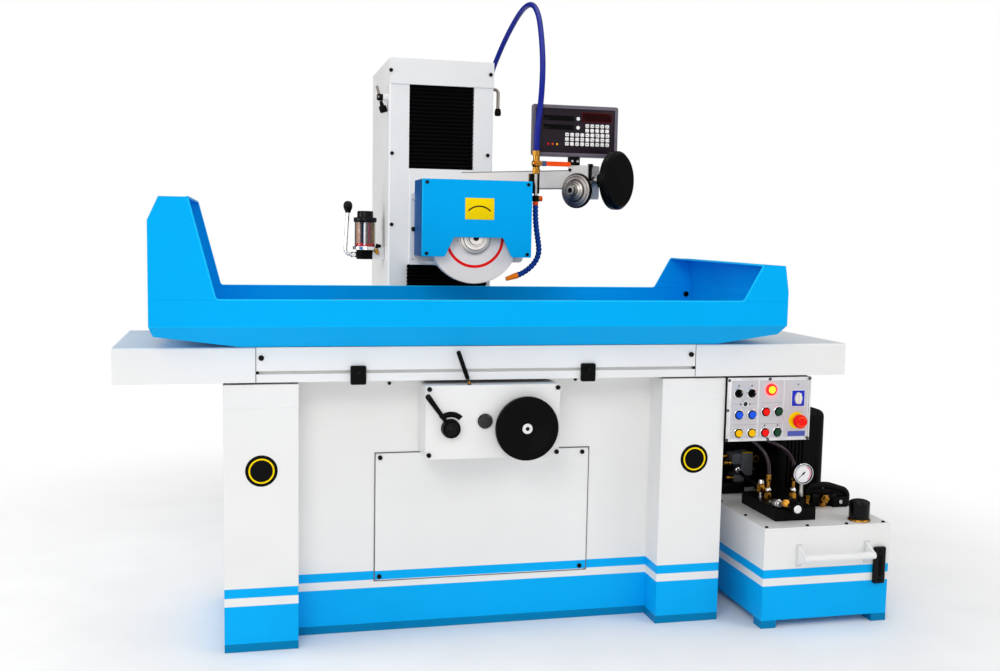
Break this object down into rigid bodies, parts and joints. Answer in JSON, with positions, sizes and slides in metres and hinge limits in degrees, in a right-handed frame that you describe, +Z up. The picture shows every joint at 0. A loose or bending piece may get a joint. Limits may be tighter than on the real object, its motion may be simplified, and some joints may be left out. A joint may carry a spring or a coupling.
{
  "type": "hydraulic surface grinder",
  "caption": "Hydraulic surface grinder: table in a splash trough on a hollow bed, travelling column, guarded wheel on a sliding head, button panel and separate oil tank.",
  "frame": {"origin": "on the floor, under the middle of the front bed, on the bed's central rib", "axes": "+X to the operator's right along the table's travel, +Y to the rear, +Z up"},
  "size_m": [2.85, 2.255, 2.4573],
  "materials": {
    "white_paint": "gloss",
    "blue_paint": "gloss",
    "grey_paint": "satin",
    "black_paint": "satin",
    "black_plastic": "matte",
    "black_rubber": "matte",
    "steel": "brushed",
    "iron": "machined",
    "brass": "satin",
    "abrasive": "matte",
    "clear_cup": "gloss",
    "blue_hose": "gloss",
    "oil_hose": "gloss",
    "blue_segments": "gloss",
    "orange_grip": "gloss",
    "readout_case": "satin",
    "panel_face": "satin",
    "red_cap": "gloss",
    "green_cap": "gloss",
    "blue_cap": "gloss",
    "yellow_cap": "gloss",
    "white_cap": "gloss"
  },
  "bodies": {
    "base": {"bed_casting": "white_paint", "front_access_cover": "white_paint", "control_box": "white_paint", "panel_box": "black_paint", "panel_plate": "panel_face", "table_cylinder": "steel", "tank_body": "white_paint", "tank_lid": "white_paint", "valve_manifold": "black_paint", "tank_fittings": "brass", "pump_motor": "black_paint", "oil_hoses": "oil_hose"},
    "table": {"table_casting": "iron", "front_rail": "white_paint", "left_way_cover": "white_paint", "right_way_cover": "white_paint", "splash_trough": "blue_paint", "piston_rod": "steel"},
    "trip_dog_left": {"trip_dog_left": "black_paint"},
    "trip_dog_right": {"trip_dog_right": "black_paint"},
    "column": {"column_casting": "white_paint", "upper_bellows": "black_rubber", "lower_bellows": "black_rubber", "lubricator_pump": "black_paint", "lubricator_cup": "clear_cup", "coolant_hose": "blue_hose"},
    "elevating_screw": {"elevating_screw": "steel"},
    "lubricator_lever": {"lubricator_lever": "steel"},
    "clamp_lever_left": {"clamp_lever_left": "black_paint"},
    "clamp_lever_right": {"clamp_lever_right": "steel"},
    "head": {"spindle_head": "white_paint", "spindle_motor": "black_paint", "wheel_guard": "blue_paint", "guard_cover": "blue_paint", "elevating_arm": "grey_paint", "elevating_gearbox": "grey_paint", "digital_readout": "readout_case", "coolant_valve": "brass"},
    "spindle": {"spindle_shaft": "steel", "grinding_wheel": "abrasive"},
    "elevating_handwheel": {"elevating_handwheel": "black_plastic"},
    "elevating_dial": {"elevating_dial": "steel"},
    "valve_lever": {"valve_lever": "orange_grip"},
    "coolant_nozzle": {"coolant_nozzle": "blue_segments"},
    "crossfeed": {"crossfeed_handwheel": "black_plastic", "crossfeed_screw": "steel"},
    "speed_lever": {"speed_lever": "black_plastic"},
    "reversing_lever": {"reversing_lever": "steel"},
    "blue_button_left": {"blue_button_left": "blue_cap"},
    "blue_button_right": {"blue_button_right": "blue_cap"},
    "yellow_button_left": {"yellow_button_left": "yellow_cap"},
    "yellow_button_right": {"yellow_button_right": "yellow_cap"},
    "red_button_upper": {"red_button_upper": "red_cap"},
    "red_button_lower": {"red_button_lower": "red_cap"},
    "green_button_upper": {"green_button_upper": "green_cap"},
    "green_button_lower": {"green_button_lower": "green_cap"},
    "emergency_stop": {"emergency_stop": "red_cap"},
    "rotary_knob_left": {"rotary_knob_left": "black_plastic"},
    "rotary_knob_right": {"rotary_knob_right": "black_plastic"},
    "main_switch": {"main_switch": "white_cap"}
  },
  "joints": [
    {"name": "table_slide", "type": "slide", "parent": "base", "child": "table", "axis": [1, 0, 0], "range_m": [-0.51, 0.51]},
    {"name": "left_dog_slide", "type": "slide", "parent": "table", "child": "trip_dog_left", "axis": [1, 0, 0], "range_m": [-0.28, 0.3]},
    {"name": "right_dog_slide", "type": "slide", "parent": "table", "child": "trip_dog_right", "axis": [1, 0, 0], "range_m": [-0.35, 0.35]},
    {"name": "column_slide", "type": "slide", "parent": "base", "child": "column", "axis": [0, 1, 0], "range_m": [-0.33, 0.2]},
    {"name": "head_slide", "type": "slide", "parent": "column", "child": "head", "axis": [0, 0, 1], "range_m": [-0.07, 0.27], "deforming": ["upper_bellows", "lower_bellows", "coolant_hose"]},
    {"name": "spindle_spin", "type": "hinge", "parent": "head", "child": "spindle", "pos_m": [0.025, 0.105, 1.4495], "axis": [0, 1, 0], "continuous": true},
    {"name": "elevating_screw_turn", "type": "hinge", "parent": "column", "child": "elevating_screw", "pos_m": [0.19, 0.92, 1.6], "axis": [0, 0, 1], "continuous": true},
    {"name": "elevating_wheel_turn", "type": "hinge", "parent": "head", "child": "elevating_handwheel", "pos_m": [0.588, 0.03, 1.685], "axis": [0.6561, -0.7547, 0], "continuous": true},
    {"name": "dial_turn", "type": "hinge", "parent": "head", "child": "elevating_dial", "pos_m": [0.48336, 0.15038, 1.644], "axis": [-0.7547, -0.6561, 0], "continuous": true},
    {"name": "valve_lever_turn", "type": "hinge", "parent": "head", "child": "valve_lever", "pos_m": [0.269, 0.067, 1.744], "axis": [0, 1, 0], "range_deg": [0, 90]},
    {"name": "nozzle_swing", "type": "hinge", "parent": "head", "child": "coolant_nozzle", "pos_m": [0.269, 0.09, 1.6], "axis": [0, 0, 1], "range_deg": [-30, 30]},
    {"name": "crossfeed_turn", "type": "hinge", "parent": "base", "child": "crossfeed", "pos_m": [0.127, -0.385, 0.782], "axis": [0, 1, 0], "continuous": true},
    {"name": "speed_lever_turn", "type": "hinge", "parent": "base", "child": "speed_lever", "pos_m": [-0.143, -0.36, 0.783], "axis": [0, 1, 0], "range_deg": [-10, 75]},
    {"name": "reversing_lever_swing", "type": "hinge", "parent": "base", "child": "reversing_lever", "pos_m": [-0.066, -0.338, 0.915], "axis": [0, 1, 0], "range_deg": [0, 40]},
    {"name": "lubricator_lever_pull", "type": "hinge", "parent": "column", "child": "lubricator_lever", "pos_m": [-0.353, 1, 1.356], "axis": [0, 1, 0], "range_deg": [-40, 0]},
    {"name": "left_clamp_turn", "type": "hinge", "parent": "column", "child": "clamp_lever_left", "pos_m": [-0.248, 0.905, 2.068], "axis": [1, 0, 0], "range_deg": [-50, 50]},
    {"name": "right_clamp_turn", "type": "hinge", "parent": "column", "child": "clamp_lever_right", "pos_m": [0.28, 0.905, 2.126], "axis": [1, 0, 0], "range_deg": [-60, 60]},
    {"name": "left_knob_turn", "type": "hinge", "parent": "base", "child": "rotary_knob_left", "pos_m": [0.972, -0.32, 0.883], "axis": [0, 1, 0], "range_deg": [-45, 45]},
    {"name": "right_knob_turn", "type": "hinge", "parent": "base", "child": "rotary_knob_right", "pos_m": [1.026, -0.32, 0.883], "axis": [0, 1, 0], "range_deg": [-45, 45]},
    {"name": "main_switch_turn", "type": "hinge", "parent": "base", "child": "main_switch", "pos_m": [1.219, -0.33, 0.861], "axis": [0, 1, 0], "range_deg": [0, 90]},
    {"name": "blue_button_left_press", "type": "slide", "parent": "base", "child": "blue_button_left", "axis": [0, 1, 0], "range_m": [0, 0.005], "stiffness_N_per_m": 500, "springref_m": -0.002},
    {"name": "blue_button_right_press", "type": "slide", "parent": "base", "child": "blue_button_right", "axis": [0, 1, 0], "range_m": [0, 0.005], "stiffness_N_per_m": 500, "springref_m": -0.002},
    {"name": "yellow_button_left_press", "type": "slide", "parent": "base", "child": "yellow_button_left", "axis": [0, 1, 0], "range_m": [0, 0.005], "stiffness_N_per_m": 500, "springref_m": -0.002},
    {"name": "yellow_button_right_press", "type": "slide", "parent": "base", "child": "yellow_button_right", "axis": [0, 1, 0], "range_m": [0, 0.005], "stiffness_N_per_m": 500, "springref_m": -0.002},
    {"name": "red_button_upper_press", "type": "slide", "parent": "base", "child": "red_button_upper", "axis": [0, 1, 0], "range_m": [0, 0.005], "stiffness_N_per_m": 500, "springref_m": -0.002},
    {"name": "red_button_lower_press", "type": "slide", "parent": "base", "child": "red_button_lower", "axis": [0, 1, 0], "range_m": [0, 0.005], "stiffness_N_per_m": 500, "springref_m": -0.002},
    {"name": "green_button_upper_press", "type": "slide", "parent": "base", "child": "green_button_upper", "axis": [0, 1, 0], "range_m": [0, 0.005], "stiffness_N_per_m": 500, "springref_m": -0.002},
    {"name": "green_button_lower_press", "type": "slide", "parent": "base", "child": "green_button_lower", "axis": [0, 1, 0], "range_m": [0, 0.005], "stiffness_N_per_m": 500, "springref_m": -0.002},
    {"name": "emergency_stop_press", "type": "slide", "parent": "base", "child": "emergency_stop", "axis": [0, 1, 0], "range_m": [0, 0.006], "stiffness_N_per_m": 900, "springref_m": -0.003}
  ],
  "couplings": [
    {"joint": "crossfeed_turn", "follows": "column_slide", "rad_per_m": 628.32},
    {"joint": "elevating_screw_turn", "follows": "head_slide", "rad_per_m": 628.32},
    {"joint": "elevating_wheel_turn", "follows": "head_slide", "rad_per_m": 628.32},
    {"joint": "dial_turn", "follows": "head_slide", "rad_per_m": 628.32}
  ]
}
